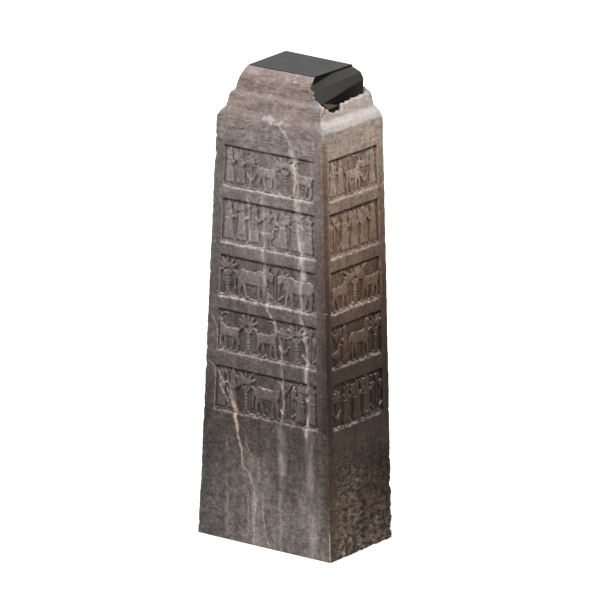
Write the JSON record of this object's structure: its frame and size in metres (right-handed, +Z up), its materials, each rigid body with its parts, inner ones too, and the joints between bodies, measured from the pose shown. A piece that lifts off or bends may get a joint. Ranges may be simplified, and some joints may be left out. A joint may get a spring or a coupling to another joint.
{
  "type": "stepped obelisk",
  "caption": "Tapering four-sided stone pillar with a stepped head, sunk carved panels on every face and a smooth dark fill over its flat top",
  "frame": {"origin": "middle of the foot, on the ground", "axes": "+Z up, the broad carved front faces -Y, the narrow side with the dark fill faces +X"},
  "size_m": [0.666, 0.4288, 1.98],
  "materials": {
    "dark_limestone": "worn dark limestone, matte, with pale drips and scuffed edges",
    "carved_limestone": "carved dark limestone, matte, worn on the high places",
    "dark_fill": "smooth charcoal fill, satin"
  },
  "bodies": {
    "root": {"stone_body": "dark_limestone", "top_slab": "dark_fill", "side_fill": "dark_fill", "carving_front_1": "carved_limestone", "carving_front_2": "carved_limestone", "carving_front_3": "carved_limestone", "carving_front_4": "carved_limestone", "carving_front_5": "carved_limestone", "carving_right_1": "carved_limestone", "carving_right_2": "carved_limestone", "carving_right_3": "carved_limestone", "carving_right_4": "carved_limestone", "carving_right_5": "carved_limestone", "carving_back_1": "carved_limestone", "carving_back_2": "carved_limestone", "carving_back_3": "carved_limestone", "carving_back_4": "carved_limestone", "carving_back_5": "carved_limestone", "carving_left_1": "carved_limestone", "carving_left_2": "carved_limestone", "carving_left_3": "carved_limestone", "carving_left_4": "carved_limestone", "carving_left_5": "carved_limestone"}
  },
  "joints": []
}
